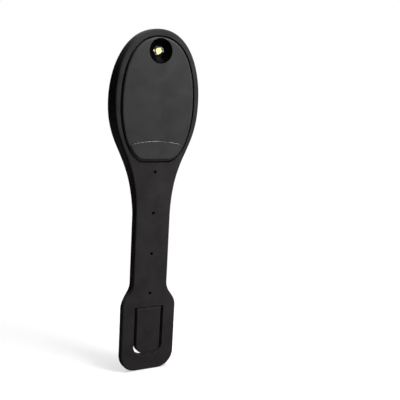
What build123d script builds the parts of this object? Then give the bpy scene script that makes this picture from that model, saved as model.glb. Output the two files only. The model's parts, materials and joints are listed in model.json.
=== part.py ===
from build123d import *
import math
import os

# A slim clip-on reading light, in millimetres.
# X is across the light, Y runs from its front (low) to its back (high), and Z is up.
# The origin is on the front face of the clip, in the middle of the bar that closes the foot.
# From the top down: an egg-shaped head with the lamp, a flexible stem, and a flat foot with a
# spring tongue that grips a page or a cover.

# Overall
total_length = 99.25
head_width = 25.7
stem_width = 10.9
stem_depth = 3.4
front_edge_radius = 0.6
back_edge_radius = 0.9

# Head and its neck, which tapers into the stem, measured from the top and the panel's lower edge
head_length = 36.75
head_widest_rise = 17.0
head_depth = 6.4
head_top_depth = 3.1
head_deepest_rise = 13.4
neck_taper = 15.45
neck_length = 17.9
head_skin = 0.9

# Pulls of the head's curves: the share of a curve's run that stays with its end's direction
crown_top_pull = 0.69
crown_side_pull = 0.51
flank_upper_pull = 0.45
flank_lower_pull = 0.56
flank_lean = 0.36
back_top_pull = 0.28
back_upper_pull = 0.38
back_lower_pull = 0.3
back_neck_pull = 0.05

# Front panel, which stands a little proud of the rim, and the dark groove around it
rim_side = 1.75
rim_top = 2.0
groove_width = 0.5
panel_widest_rise = 16.3
panel_flat_half = 3.7
panel_top_pull = 0.66
panel_side_pull = 0.6
panel_lower_pull = 0.54
panel_corner_share = 0.55
panel_proud = 0.35
panel_thickness = 1.5
panel_edge_radius = 0.5

# Press pad
pad_arc_rise = 6.0
pad_arc_radius = 32.0
pad_margin = 0.65
pad_gap = 0.12
pad_proud = 0.2
pad_room = 0.12
pad_flange_thickness = 0.3
pad_travel = 0.35
plunger_radius = 1.0
plunger_length = 0.1
press_clearance = 0.06

# Lamp
lamp_drop = 5.95
bezel_radius = 3.45
bezel_drop = 0.1
bezel_lip = 0.3
bezel_throat_radius = 1.7
bezel_wall = 0.5
emitter_diagonal = 3.2
emitter_height = 0.85
phosphor_radius = 0.66
phosphor_height = 0.1
lens_radius = 1.35
lens_height = 1.15

# Circuit board and what is soldered to it
board_thickness = 0.6
board_margin = 1.5
dome_radius = 1.45
dome_height = 0.25
dome_foot = 0.15
chip_width = 2.9
chip_length = 1.6
chip_height = 0.85
chip_drop = 11.5
resistor_width = 1.6
resistor_length = 3.2
resistor_height = 0.55
part_side = 4.0

# Coin cell and its contacts
cell_diameter = 20.0
cell_thickness = 1.6
cell_rise = 14.6
cell_gap = 0.15
cell_cap_radius = 8.8
cell_cap_height = 0.3
cell_seal_width = 0.35
cell_wall = 0.25
contact_gap = 0.3
contact_thickness = 0.12
contact_width = 3.0
contact_length = 9.0
contact_foot_share = 0.5
contact_crest = 2.0
side_contact_thickness = 0.2
side_contact_width = 4.0

# Carrier frame, back cover and screw
fit_gap = 0.05
cover_lap = 0.6
cover_gap = 0.12
cover_tab_radius = 2.4
screw_rise = 1.7
screw_radius = 0.6
screw_head_radius = 1.15
screw_seat_depth = 0.45
screw_head_height = 0.3
screw_slot = 0.3

# Bendable metal strip in the stem, riveted to a tail of the carrier
strip_width = 4.0
strip_thickness = 0.6
tail_width = 6.4
tail_thickness = 1.2
tail_length = 6.0
rivet_radius = 0.45
rivet_head_radius = 0.8
rivet_head_height = 0.22
rivet_rises = (-1.5, -4.6)

# Stem: evenly spaced bends fill the length between neck and foot. Locating holes sit on the
# centre line: two in the neck, one in the middle link and one in the foot.
bend_count = 4
bend_clearance = 0.3
pin_radius = 0.47
neck_pin_drops = (2.94, 14.89)

# Foot and its tongue
foot_length = 26.7
foot_bar = 4.5
foot_width = 17.0
foot_depth = 2.4
foot_corner = 5.0
foot_edge_radius = 0.6
foot_shoulder_drop = 7.5
foot_thick_drop = 2.5
flare_pull = 0.45
tongue_width = 7.6
tongue_slot = 0.8
tongue_drop = 8.0
tongue_tip_radius = 2.6
tongue_lift = 0.7
tongue_lift_length = 2.5
tongue_edge_radius = 0.35
leaf_thickness = 0.4
leaf_width = 4.6
plate_margin = 0.9
grip_rib_count = 3
grip_rib_height = 0.3
grip_rib_pitch = 1.3

# How far cutting shapes reach past the piece they cut
past = 1.0

# Heights worked out from the sizes above
foot_tip = -foot_bar / 2
head_top = foot_tip + total_length
panel_base = head_top - head_length
neck_end = panel_base - neck_taper
first_bend = panel_base - neck_length
last_bend = foot_tip + foot_length
bend_pitch = (first_bend - last_bend) / (bend_count - 1)
bends = [first_bend - bend_pitch * index for index in range(bend_count)]
head_widest = panel_base + head_widest_rise
panel_top = head_top - rim_top
panel_half = head_width / 2 - rim_side
stem_middle = stem_depth / 2
lamp_z = head_top - lamp_drop
cell_z = panel_base + cell_rise
strip_top = panel_base + fit_gap
tongue_axis = last_bend - tongue_drop
tongue_middle = foot_depth / 2
tongue_tip = foot_bar / 2 + tongue_slot

# Depths worked out from the sizes above, from the front face of rim, stem and foot at y = 0
panel_front = -panel_proud
panel_back = panel_front + panel_thickness
pad_front = panel_front - pad_proud
bezel_front = panel_front + bezel_drop
pad_back = panel_back + fit_gap + pad_flange_thickness
plunger_tip = pad_back + plunger_length
dome_top = plunger_tip + pad_travel + press_clearance
dome_seat = dome_top + dome_height
board_front = dome_seat + dome_foot
board_back = board_front + board_thickness
cell_front = board_back + contact_gap
cell_back = cell_front + cell_thickness
cover_front = cell_back + fit_gap
strip_front = stem_middle - strip_thickness / 2
strip_back = stem_middle + strip_thickness / 2
tail_back = strip_back + tail_thickness


def slab(outline, front, back):
    """Thicken a face drawn in the X-Z plane, from depth front to depth back."""
    return extrude(Pos(0, front, 0) * outline, amount=back - front, dir=(0, 1, 0))


def rod(radius, x, z, front, back):
    """Round bar along Y."""
    middle = (front + back) / 2
    return Pos(x, middle, z) * Rot(90, 0, 0) * Cylinder(radius, back - front)


def cross_rod(radius, y, z, length):
    """Round bar along X."""
    return Pos(0, y, z) * Rot(0, 90, 0) * Cylinder(radius, length)


def block(x_low, x_high, front, back, z_low, z_high):
    """Box between two corners."""
    size = (x_high - x_low, back - front, z_high - z_low)
    middle = ((x_low + x_high) / 2, (front + back) / 2, (z_low + z_high) / 2)
    return Pos(*middle) * Box(*size)


def both_halves(edges):
    """Face inside the right-hand edges and their mirror images."""
    mirrored = [edge.mirror(Plane.YZ) for edge in edges]
    return make_face(list(edges) + mirrored)


def crown(half, widest, top, top_pull, side_pull):
    """Right-hand edge of a rounded head, from its top down to its widest point."""
    shoulder = widest + (top - widest) * side_pull
    return Bezier((0, 0, top), (half * top_pull, 0, top), (half, 0, shoulder), (half, 0, widest))


def head_outline():
    """Front view of the head and neck, down to the first bend."""
    half = head_width / 2
    neck = stem_width / 2
    run = head_widest - neck_end
    upper = crown(half, head_widest, head_top, crown_top_pull, crown_side_pull)
    flank = Bezier((half, 0, head_widest), (half, 0, head_widest - run * flank_upper_pull),
                   (neck + flank_lean, 0, neck_end + run * flank_lower_pull), (neck, 0, neck_end))
    side = Line((neck, 0, neck_end), (neck, 0, first_bend))
    bottom = Line((neck, 0, first_bend), (0, 0, first_bend))
    return both_halves([upper, flank, side, bottom])


def panel_outline(inset):
    """Front view of the panel, drawn in by inset from the middle of its groove."""
    half = panel_half - inset
    widest = panel_base + panel_widest_rise
    base = panel_base + inset
    upper = crown(half, widest, panel_top - inset, panel_top_pull, panel_side_pull)
    corner = panel_flat_half + (half - panel_flat_half) * panel_corner_share
    lower = Bezier((half, 0, widest), (half, 0, widest - panel_widest_rise * panel_lower_pull),
                   (corner, 0, base), (panel_flat_half, 0, base))
    bottom = Line((panel_flat_half, 0, base), (0, 0, base))
    return both_halves([upper, lower, bottom])


def back_limit(skin):
    """Everything in front of the head's curved back, drawn in by skin."""
    side = head_width
    deepest = panel_base + head_deepest_rise
    deep = head_depth - skin
    thin_top = head_top_depth - skin
    thin_neck = stem_depth - skin
    above = head_top + past
    below = first_bend - past
    rise = head_top - deepest
    fall = deepest - neck_end
    upper = Bezier((-side, thin_top, head_top),
                   (-side, (thin_top + deep) / 2, head_top - rise * back_top_pull),
                   (-side, deep, deepest + rise * back_upper_pull),
                   (-side, deep, deepest))
    lower = Bezier((-side, deep, deepest),
                   (-side, deep, deepest - fall * back_lower_pull),
                   (-side, thin_neck, neck_end + fall * back_neck_pull),
                   (-side, thin_neck, neck_end))
    rest = Polyline((-side, thin_neck, neck_end), (-side, thin_neck, below), (-side, -past, below),
                    (-side, -past, above), (-side, thin_top, above), (-side, thin_top, head_top))
    face = make_face([upper, lower] + list(rest.edges()))
    return extrude(face, amount=2 * side, dir=(1, 0, 0))


def stem_bar(z_low, z_high):
    """Length of the stem with its rounded long edges."""
    bar = block(-stem_width / 2, stem_width / 2, 0, stem_depth, z_low, z_high)
    long_edges = bar.edges().filter_by(Axis.Z)
    front_edges = [edge for edge in long_edges if edge.center().Y < stem_middle]
    bar = fillet(front_edges, front_edge_radius)
    long_edges = bar.edges().filter_by(Axis.Z)
    back_edges = [edge for edge in long_edges if edge.center().Y > stem_depth - fit_gap]
    corner_edges = [edge for edge in back_edges if abs(edge.center().X) > stem_width / 2 - fit_gap]
    return fillet(corner_edges, back_edge_radius)


def knuckle(z):
    """Half-round end that hangs below a bend."""
    return stem_bar(z - stem_depth, z) & cross_rod(stem_middle, stem_middle, z, stem_width)


def socket(z):
    """Space that the half-round end turns in."""
    return cross_rod(stem_middle + bend_clearance, stem_middle, z, stem_width + 2 * past)


def strip_bar(z_low, z_high):
    """Length of the bendable metal strip."""
    return block(-strip_width / 2, strip_width / 2, strip_front, strip_back, z_low, z_high)


def pin_hole(z):
    """Hole left by the pin that held the strip while the skin was moulded."""
    return rod(pin_radius, 0, z, -past, strip_front)


def is_round_edge(edge):
    """True for the long curved edges of the head, not its seams or its flat lower end."""
    middle = edge.center()
    height = edge.bounding_box().size.Z
    return abs(middle.X) > fit_gap and height > strip_thickness and middle.Z > first_bend + fit_gap


def head_body():
    """Head and neck as one rounded solid, before anything is cut from it."""
    body = slab(head_outline(), 0, head_depth + past) & back_limit(0)
    front = [edge for edge in body.edges() if is_round_edge(edge) and edge.center().Y < fit_gap]
    body = fillet(front, front_edge_radius)
    back = [edge for edge in body.edges() if is_round_edge(edge) and edge.center().Y > stem_middle]
    return fillet(back, back_edge_radius) + knuckle(first_bend)


def cover_outline(grow):
    """Back view of the cover: a disc over the cell with a tab for the screw."""
    disc_radius = cell_diameter / 2 + cover_lap + grow
    tab_radius = cover_tab_radius + grow
    span = cell_rise - screw_rise
    lean = math.asin((disc_radius - tab_radius) / span)
    disc_x = disc_radius * math.cos(lean)
    disc_z = cell_z - disc_radius * math.sin(lean)
    tab_x = tab_radius * math.cos(lean)
    tab_z = panel_base + screw_rise - tab_radius * math.sin(lean)
    tab_end = panel_base + screw_rise - tab_radius
    top = ThreePointArc((-disc_x, 0, disc_z), (0, 0, cell_z + disc_radius), (disc_x, 0, disc_z))
    tab = ThreePointArc((-tab_x, 0, tab_z), (0, 0, tab_end), (tab_x, 0, tab_z))
    right = Line((disc_x, 0, disc_z), (tab_x, 0, tab_z))
    left = Line((-disc_x, 0, disc_z), (-tab_x, 0, tab_z))
    return make_face([top, right, tab, left])


def pad_outline(grow):
    """Front view of the press pad: the panel's lower end, cut off by a shallow arc."""
    side = panel_half
    top = panel_base + pad_arc_rise + grow
    corner = top - pad_arc_radius + math.sqrt(pad_arc_radius ** 2 - side ** 2)
    arc = ThreePointArc((-side, 0, corner), (0, 0, top), (side, 0, corner))
    low = panel_base - past
    rest = Polyline((side, 0, corner), (side, 0, low), (-side, 0, low), (-side, 0, corner))
    below_arc = make_face([arc] + list(rest.edges()))
    return panel_outline(pad_margin - grow) & below_arc


def foot_outline():
    """Front view of the foot, from the last bend down to its rounded end."""
    neck = stem_width / 2
    half = foot_width / 2
    shoulder = last_bend - foot_shoulder_drop
    run = foot_shoulder_drop * flare_pull
    flare = Bezier((neck, 0, last_bend), (neck, 0, last_bend - run),
                   (half, 0, shoulder + run), (half, 0, shoulder))
    side = Line((half, 0, shoulder), (half, 0, foot_tip + foot_corner))
    corner_x = half - foot_corner
    bend_x = corner_x + foot_corner * math.sin(math.pi / 4)
    bend_z = foot_tip + foot_corner * (1 - math.cos(math.pi / 4))
    corner = ThreePointArc((half, 0, foot_tip + foot_corner), (bend_x, 0, bend_z),
                           (corner_x, 0, foot_tip))
    bottom = Line((corner_x, 0, foot_tip), (0, 0, foot_tip))
    top = Line((0, 0, last_bend), (neck, 0, last_bend))
    return both_halves([top, flare, side, corner, bottom])


def tongue_outline(grow):
    """Front view of the tongue: straight sides and a rounded tip, with its root at its axis."""
    half = tongue_width / 2 + grow
    tip = tongue_tip - grow
    radius = tongue_tip_radius + grow
    corner_x = half - radius
    bend_x = corner_x + radius * math.sin(math.pi / 4)
    bend_z = tip + radius * (1 - math.cos(math.pi / 4))
    side = Line((half, 0, tongue_axis), (half, 0, tip + radius))
    corner = ThreePointArc((half, 0, tip + radius), (bend_x, 0, bend_z), (corner_x, 0, tip))
    bottom = Line((corner_x, 0, tip), (0, 0, tip))
    top = Line((0, 0, tongue_axis), (half, 0, tongue_axis))
    return both_halves([top, side, corner, bottom])


def foot_limit():
    """Everything in front of the foot's back, which thins from the stem's depth to the foot's."""
    side = foot_width
    thin = last_bend - foot_shoulder_drop
    thick = last_bend - foot_thick_drop
    run = (thick - thin) * flare_pull
    low = foot_tip - past
    high = last_bend + past
    slope = Bezier((-side, foot_depth, thin), (-side, foot_depth, thin + run),
                   (-side, stem_depth, thick - run), (-side, stem_depth, thick))
    rest = Polyline((-side, stem_depth, thick), (-side, stem_depth, high), (-side, -past, high),
                    (-side, -past, low), (-side, foot_depth, low), (-side, foot_depth, thin))
    return extrude(make_face([slope] + list(rest.edges())), amount=2 * side, dir=(1, 0, 0))


def carrier():
    """Rigid frame inside the head that holds the board, the cell and the cover."""
    outline = panel_outline(-groove_width / 2 + fit_gap)
    body = slab(outline, panel_back, cover_front) & back_limit(head_skin)
    body += slab(cover_outline(0), board_back, cover_front) & slab(outline, 0, head_depth)
    body -= slab(panel_outline(board_margin - fit_gap), 0, board_back)
    body -= rod(cell_diameter / 2 + cell_gap, 0, cell_z, board_back, head_depth)
    contact_top = cell_z + cell_diameter / 2 + side_contact_thickness + cell_gap
    body -= block(-side_contact_width / 2 - cell_gap, side_contact_width / 2 + cell_gap,
                  board_back, cell_back - cell_gap, cell_z, contact_top + fit_gap)
    tail_low = panel_base - tail_length
    tail = block(-tail_width / 2, tail_width / 2, strip_back, tail_back, tail_low,
                 panel_base + board_margin - fit_gap)
    body += tail
    for rise in rivet_rises:
        body -= rod(rivet_radius, 0, panel_base + rise, strip_back, tail_back)
    body -= rod(screw_radius, 0, panel_base + screw_rise, board_back, head_depth)
    body -= slab(pad_outline(pad_gap + pad_room), panel_back, pad_back + pad_travel + press_clearance)
    return body - strip_bar(first_bend, strip_top + fit_gap)


def head_strip():
    """Upper end of the metal strip, from the carrier to the first bend."""
    strip = strip_bar(first_bend - stem_depth, strip_top)
    strip &= strip_bar(first_bend, head_top) + knuckle(first_bend)
    for rise in rivet_rises:
        strip -= rod(rivet_radius, 0, panel_base + rise, 0, stem_depth)
    return strip


def rivets():
    """Two rivets that hold the strip on the carrier's tail."""
    group = []
    for rise in rivet_rises:
        z = panel_base + rise
        shank = rod(rivet_radius, 0, z, strip_front, tail_back)
        front_head = rod(rivet_head_radius, 0, z, strip_front - rivet_head_height, strip_front)
        back_head = rod(rivet_head_radius, 0, z, tail_back, tail_back + rivet_head_height)
        group.append(shank + front_head + back_head)
    return group


def head_shell():
    """Soft skin of the head and neck: a rim in front, a ledge behind and a solid neck."""
    body = head_body()
    pocket = slab(panel_outline(-groove_width / 2), -past, cover_front) & back_limit(head_skin)
    body -= pocket
    body -= slab(cover_outline(cover_gap), board_back, head_depth + past)
    tail_low = panel_base - tail_length
    body -= block(-tail_width / 2, tail_width / 2, strip_back, tail_back, tail_low, panel_base + past)
    body -= strip_bar(first_bend - stem_depth, strip_top)
    for rivet in rivets():
        body -= rivet
    for drop in neck_pin_drops:
        body -= pin_hole(panel_base - drop)
    return body


def front_panel():
    """Hard inset panel with openings for the lamp and the press pad."""
    body = slab(panel_outline(groove_width / 2), panel_front, panel_back)
    front_edges = [edge for edge in body.edges() if edge.center().Y < panel_front + fit_gap]
    body = fillet(front_edges, panel_edge_radius)
    body -= rod(bezel_radius + fit_gap, 0, lamp_z, panel_front - past, panel_back)
    return body - slab(pad_outline(0), panel_front - past, panel_back)


def press_pad():
    """Press pad with the flange that keeps it behind the panel and its short plunger."""
    body = slab(pad_outline(-pad_gap), pad_front, panel_back + fit_gap)
    face_edges = [edge for edge in body.edges() if edge.center().Y < pad_front + fit_gap]
    body = fillet(face_edges, pad_proud)
    body += slab(pad_outline(pad_gap), panel_back + fit_gap, pad_back)
    return body + rod(plunger_radius, 0, pad_z, pad_back, plunger_tip)


def switch_dome():
    """Metal snap dome on its foot, soldered to the board under the press pad."""
    curve = (dome_radius ** 2 + dome_height ** 2) / (2 * dome_height)
    ball = Pos(0, dome_top + curve, pad_z) * Sphere(curve)
    cap = ball & rod(dome_radius, 0, pad_z, dome_top, dome_seat)
    return cap + rod(dome_radius, 0, pad_z, dome_seat, board_front)


def lamp_bezel():
    """Glossy cup around the lamp: a flat lip, a cone and a skirt that stands on the board."""
    outer = rod(bezel_radius, 0, lamp_z, bezel_front, panel_back)
    skirt_radius = bezel_throat_radius + bezel_wall
    skirt = rod(skirt_radius, 0, lamp_z, panel_back, board_front)
    mouth_radius = bezel_radius - bezel_lip
    depth = panel_back - bezel_front
    cone = Pos(0, bezel_front + depth / 2, lamp_z) * Rot(90, 0, 0)
    cone = cone * Cone(bezel_throat_radius, mouth_radius, depth)
    throat = rod(bezel_throat_radius, 0, lamp_z, panel_back - fit_gap, board_front)
    return outer + skirt - cone - throat


def emitter_base():
    """Square package of the lamp, standing on its corner."""
    side = emitter_diagonal / math.sqrt(2)
    package = Rot(0, 45, 0) * Box(side, emitter_height, side)
    return Pos(0, board_front - emitter_height / 2, lamp_z) * package


def phosphor():
    """Yellow light source in the middle of the package."""
    top = board_front - emitter_height
    return rod(phosphor_radius, 0, lamp_z, top - phosphor_height, top)


def lens():
    """Clear dome over the light source."""
    seat = board_front - emitter_height
    tip = seat - lens_height
    curve = (lens_radius ** 2 + lens_height ** 2) / (2 * lens_height)
    ball = Pos(0, tip + curve, lamp_z) * Sphere(curve)
    return (ball & rod(lens_radius, 0, lamp_z, tip, seat)) - phosphor()


def circuit_board():
    """Egg-shaped board behind the panel."""
    return slab(panel_outline(board_margin), board_front, board_back)


def latch_chip():
    """Small chip that turns the lamp on and off at each press."""
    z = lamp_z - chip_drop
    return block(-part_side - chip_width / 2, -part_side + chip_width / 2,
                 board_front - chip_height, board_front, z - chip_length / 2, z + chip_length / 2)


def resistor():
    """Series resistor of the lamp."""
    z = lamp_z - chip_drop
    return block(part_side - resistor_width / 2, part_side + resistor_width / 2,
                 board_front - resistor_height, board_front,
                 z - resistor_length / 2, z + resistor_length / 2)


def cell_can():
    """Positive can of the coin cell, open towards the board."""
    body = rod(cell_diameter / 2, 0, cell_z, cell_front + cell_cap_height / 2, cell_back)
    return body - rod(cell_cap_radius + cell_seal_width, 0, cell_z, cell_front, cell_back - cell_wall)


def cell_seal():
    """Plastic seal ring between the can and the cap."""
    body = rod(cell_cap_radius + cell_seal_width, 0, cell_z, cell_front + cell_cap_height / 2,
               cell_back - cell_wall)
    return body - rod(cell_cap_radius, 0, cell_z, cell_front, cell_back)


def cell_pellet():
    """Active layers pressed inside the coin cell."""
    return rod(cell_cap_radius - cell_wall, 0, cell_z, cell_front + cell_wall, cell_back - cell_wall)


def cell_cap():
    """Negative cap of the coin cell, a shallow cup over the active layers."""
    return rod(cell_cap_radius, 0, cell_z, cell_front, cell_back - cell_wall) - cell_pellet()


def negative_spring():
    """Leaf that arches from the board to the cell's cap."""
    half = contact_length / 2
    rise = contact_gap
    t = contact_thickness
    ends = half * contact_foot_share
    crest = contact_crest / 2
    points = [(0, board_back, -half), (0, board_back, -ends), (0, board_back + rise - t, 0),
              (0, board_back, ends), (0, board_back, half), (0, board_back + t, half),
              (0, board_back + t, ends), (0, board_back + rise, crest),
              (0, board_back + rise, -crest), (0, board_back + t, -ends), (0, board_back + t, -half)]
    face = make_face(Polyline(*points, close=True).edges())
    leaf = extrude(face, amount=contact_width, dir=(1, 0, 0))
    return Pos(-contact_width / 2, 0, cell_z) * leaf


def positive_spring():
    """Leaf that stands on the board beside the cell and presses on the can."""
    low = cell_z + cell_diameter / 2 + fit_gap
    high = low + side_contact_thickness
    half = side_contact_width / 2
    return block(-half, half, board_back, cell_back - 2 * cell_gap, low, high)


def back_cover():
    """Cover over the cell, flush with the curved back of the head."""
    body = slab(cover_outline(0), cover_front, head_depth + past) & back_limit(0)
    z = panel_base + screw_rise
    body -= rod(screw_radius + fit_gap, 0, z, cover_front, head_depth + past)
    seat = cover_front + screw_seat_depth
    return body - rod(screw_head_radius + fit_gap, 0, z, seat, head_depth + past)


def cover_screw():
    """Small slotted screw that locks the cover."""
    z = panel_base + screw_rise
    seat = cover_front + screw_seat_depth
    shank = rod(screw_radius, 0, z, board_back + fit_gap, seat)
    head = rod(screw_head_radius, 0, z, seat, seat + screw_head_height)
    slot = block(-screw_head_radius, screw_head_radius, seat + screw_head_height / 2, head_depth,
                 z - screw_slot / 2, z + screw_slot / 2)
    return shank + head - slot


def link_body(index):
    """One length of the stem, between bend index and the bend below it."""
    top = bends[index]
    bottom = bends[index + 1]
    return stem_bar(bottom, top) + knuckle(bottom) - socket(top)


def link_strip(index):
    """Metal strip inside one length of the stem."""
    return link_body(index) & strip_bar(bends[index + 1] - stem_depth, bends[index])


def link_skin(index):
    """Soft skin of one length of the stem, with its locating hole where it has one."""
    skin = link_body(index) - link_strip(index)
    if index % 2 == 1:
        skin -= pin_hole((bends[index] + bends[index + 1]) / 2)
    return skin


def foot_plate_outline():
    """Front view of the steel plate in the foot, drawn in from the foot's edge."""
    half = foot_width / 2 - plate_margin
    neck = strip_width / 2
    shoulder = last_bend - foot_shoulder_drop
    low = foot_tip + plate_margin
    radius = foot_corner - plate_margin
    run = foot_shoulder_drop * flare_pull
    top = Line((0, 0, last_bend), (neck, 0, last_bend))
    flare = Bezier((neck, 0, last_bend), (neck, 0, last_bend - run),
                   (half, 0, shoulder + run), (half, 0, shoulder))
    side = Line((half, 0, shoulder), (half, 0, low + radius))
    bend_x = half - radius * (1 - math.sin(math.pi / 4))
    bend_z = low + radius * (1 - math.cos(math.pi / 4))
    corner = ThreePointArc((half, 0, low + radius), (bend_x, 0, bend_z), (half - radius, 0, low))
    bottom = Line((half - radius, 0, low), (0, 0, low))
    return both_halves([top, flare, side, corner, bottom])


def tongue_window():
    """Opening in the foot around the tongue, with the socket that its root turns in."""
    window = slab(tongue_outline(tongue_slot), -past, stem_depth + past)
    half = tongue_width / 2 + tongue_slot
    root = cross_rod(tongue_middle + bend_clearance, tongue_middle, tongue_axis, 2 * half)
    return window + root


def foot_plate():
    """Steel plate inside the foot."""
    plate = slab(foot_plate_outline(), strip_front, strip_back)
    margin = slab(tongue_outline(tongue_slot + plate_margin), 0, stem_depth)
    half = tongue_width / 2 + tongue_slot + plate_margin
    reach = tongue_middle + bend_clearance + plate_margin
    margin += block(-half, half, 0, stem_depth, tongue_axis - past, tongue_axis + reach)
    return plate - margin - socket(last_bend)


def foot_body():
    """Foot as one rounded solid, before anything is cut from it."""
    body = slab(foot_outline(), 0, stem_depth) & foot_limit()
    front = []
    back = []
    for edge in body.edges():
        middle = edge.center()
        size = edge.bounding_box().size
        at_side = abs(middle.X) > fit_gap and size.Z > fit_gap
        at_tip = middle.Z < foot_tip + fit_gap and size.X > fit_gap
        if at_side or at_tip:
            if middle.Y < fit_gap:
                front.append(edge)
            elif middle.Y > foot_depth - fit_gap:
                back.append(edge)
    body = fillet(front, foot_edge_radius)
    return fillet([body.edges().sort_by_distance(edge.center())[0] for edge in back], back_edge_radius)


def foot_shell():
    """Soft skin of the foot."""
    body = foot_body() - socket(last_bend) - tongue_window() - foot_plate()
    return body - pin_hole(last_bend - bend_pitch / 2)


def tongue_body():
    """Tongue with its half-round root and its lifted tip."""
    body = slab(tongue_outline(0), 0, foot_depth)
    rims = [edge for edge in body.edges() if edge.center().Z < tongue_axis - fit_gap]
    rims = [edge for edge in rims if edge.bounding_box().size.Y < fit_gap]
    body = fillet(rims, tongue_edge_radius)
    body += cross_rod(tongue_middle, tongue_middle, tongue_axis, tongue_width)
    wedge_top = tongue_tip + tongue_lift_length
    low = tongue_tip - past
    wedge = [(-foot_width, foot_depth, wedge_top), (-foot_width, foot_depth + past, wedge_top),
             (-foot_width, foot_depth + past, low), (-foot_width, foot_depth - tongue_lift, low),
             (-foot_width, foot_depth - tongue_lift, tongue_tip)]
    cut = extrude(make_face(Polyline(*wedge, close=True).edges()), amount=2 * foot_width, dir=(1, 0, 0))
    return body - cut


def tongue_leaf():
    """Spring steel leaf inside the tongue."""
    half = leaf_width / 2
    front = tongue_middle - leaf_thickness / 2
    return block(-half, half, front, front + leaf_thickness, tongue_tip + tongue_tip_radius,
                 tongue_axis + tongue_middle - fit_gap)


def tongue_skin():
    """Soft skin of the tongue with grip ribs across its back."""
    body = tongue_body() - tongue_leaf()
    for index in range(grip_rib_count):
        z = tongue_tip + tongue_lift_length + grip_rib_pitch * (index + 0.5)
        half = leaf_width / 2
        body += block(-half, half, foot_depth - fit_gap, foot_depth + grip_rib_height,
                      z - grip_rib_pitch / 4, z + grip_rib_pitch / 4)
    return body


def save(name, shape):
    """Write one piece, or a group of like pieces, under its name."""
    export_step(shape, "parts/" + name + ".step")


pad_z = panel_base + (pad_margin + pad_arc_rise) / 2

os.makedirs("parts", exist_ok=True)
save("head_shell", head_shell())
save("carrier_frame", carrier())
save("front_panel", front_panel())
save("press_pad", press_pad())
save("switch_dome", switch_dome())
save("lamp_bezel", lamp_bezel())
save("lamp_base", emitter_base())
save("lamp_phosphor", phosphor())
save("lamp_lens", lens())
save("circuit_board", circuit_board())
save("latch_chip", latch_chip())
save("resistor", resistor())
save("cell_can", cell_can())
save("cell_seal", cell_seal())
save("cell_cap", cell_cap())
save("cell_pellet", cell_pellet())
save("negative_spring", negative_spring())
save("positive_spring", positive_spring())
save("back_cover", back_cover())
save("cover_screw", cover_screw())
save("head_strip", head_strip())
save("strip_rivets", Compound(children=rivets()))
for number in range(1, bend_count):
    index = bend_count - 1 - number
    save("stem_link_" + str(number), link_skin(index))
    save("stem_strip_" + str(number), link_strip(index))
save("foot_shell", foot_shell())
save("foot_plate", foot_plate())
save("clip_tongue", tongue_skin())
save("tongue_leaf", tongue_leaf())
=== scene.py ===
# %% [markdown]
# # A flexible reading light
#
# The light clips on a page. It has an egg-shaped head with one lamp, a flat stem that bends and
# stays where it is put, and a thin foot with a spring tongue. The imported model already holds
# every piece at its true size. This lesson gives those pieces their finish, and models anew the
# ones whose look a rigid solid can't give: the soft skin, which has to run over the bends in one
# smooth surface, and the small bright parts of the lamp.

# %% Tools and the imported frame
import json
import math
import bmesh
import bpy
from mathutils import Matrix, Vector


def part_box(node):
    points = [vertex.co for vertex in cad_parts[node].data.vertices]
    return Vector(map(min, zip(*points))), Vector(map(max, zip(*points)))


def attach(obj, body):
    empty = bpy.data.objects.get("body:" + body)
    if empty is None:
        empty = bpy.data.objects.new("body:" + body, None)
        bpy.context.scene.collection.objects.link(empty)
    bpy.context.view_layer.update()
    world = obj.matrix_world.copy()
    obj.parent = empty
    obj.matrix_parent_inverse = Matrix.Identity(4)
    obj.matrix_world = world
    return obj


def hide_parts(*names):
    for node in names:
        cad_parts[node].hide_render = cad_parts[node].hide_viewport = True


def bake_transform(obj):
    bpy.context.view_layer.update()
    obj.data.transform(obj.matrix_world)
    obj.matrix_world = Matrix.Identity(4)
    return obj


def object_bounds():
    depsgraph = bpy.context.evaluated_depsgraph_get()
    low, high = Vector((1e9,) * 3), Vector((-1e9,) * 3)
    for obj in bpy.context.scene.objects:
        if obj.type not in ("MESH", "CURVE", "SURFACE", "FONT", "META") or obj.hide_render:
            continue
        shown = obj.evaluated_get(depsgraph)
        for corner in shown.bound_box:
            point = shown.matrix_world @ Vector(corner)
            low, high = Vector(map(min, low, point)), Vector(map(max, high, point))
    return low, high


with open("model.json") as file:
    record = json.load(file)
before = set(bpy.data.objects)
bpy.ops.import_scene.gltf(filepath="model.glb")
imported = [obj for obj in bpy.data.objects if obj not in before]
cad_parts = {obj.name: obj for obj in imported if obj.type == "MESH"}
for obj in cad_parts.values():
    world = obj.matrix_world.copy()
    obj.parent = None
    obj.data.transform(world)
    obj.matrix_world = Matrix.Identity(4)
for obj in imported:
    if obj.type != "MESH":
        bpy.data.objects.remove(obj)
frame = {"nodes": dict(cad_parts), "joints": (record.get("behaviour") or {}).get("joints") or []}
cad_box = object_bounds()
mm = 0.001

# %% [markdown]
# ## Places that the frame gives
#
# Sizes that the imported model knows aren't typed again. The hinges say where the stem bends, and
# the boxes of a few nodes give the section of the stem and of the metal strip inside it. Each
# skin ends in the middle of a link, just beside a locating hole, because that stretch stays
# straight at every pose and a seam there can't open.

# %% Bends, sections and seams
joints = {joint["name"]: joint for joint in frame["joints"]}
bend_heights = [joints["bend_" + str(number)]["pos_m"][2] for number in range(1, 5)]
bend_pitch = bend_heights[1] - bend_heights[0]
bend_reach = 0.4 * bend_pitch
seam_drop = 0.55 * mm
seams = [height + bend_pitch / 2 - seam_drop for height in bend_heights[:-1]]

stem_low, stem_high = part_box("stem_link_2")
stem_width = stem_high.x - stem_low.x
stem_depth = stem_high.y - stem_low.y
strip_low, strip_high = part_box("stem_strip_2")
strip_width = strip_high.x - strip_low.x
stem_front_radius = 0.6 * mm
stem_back_radius = 0.9 * mm
print("bends at, mm:", [round(height / mm, 2) for height in bend_heights])
print("seams at, mm:", [round(height / mm, 2) for height in seams])

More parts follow.
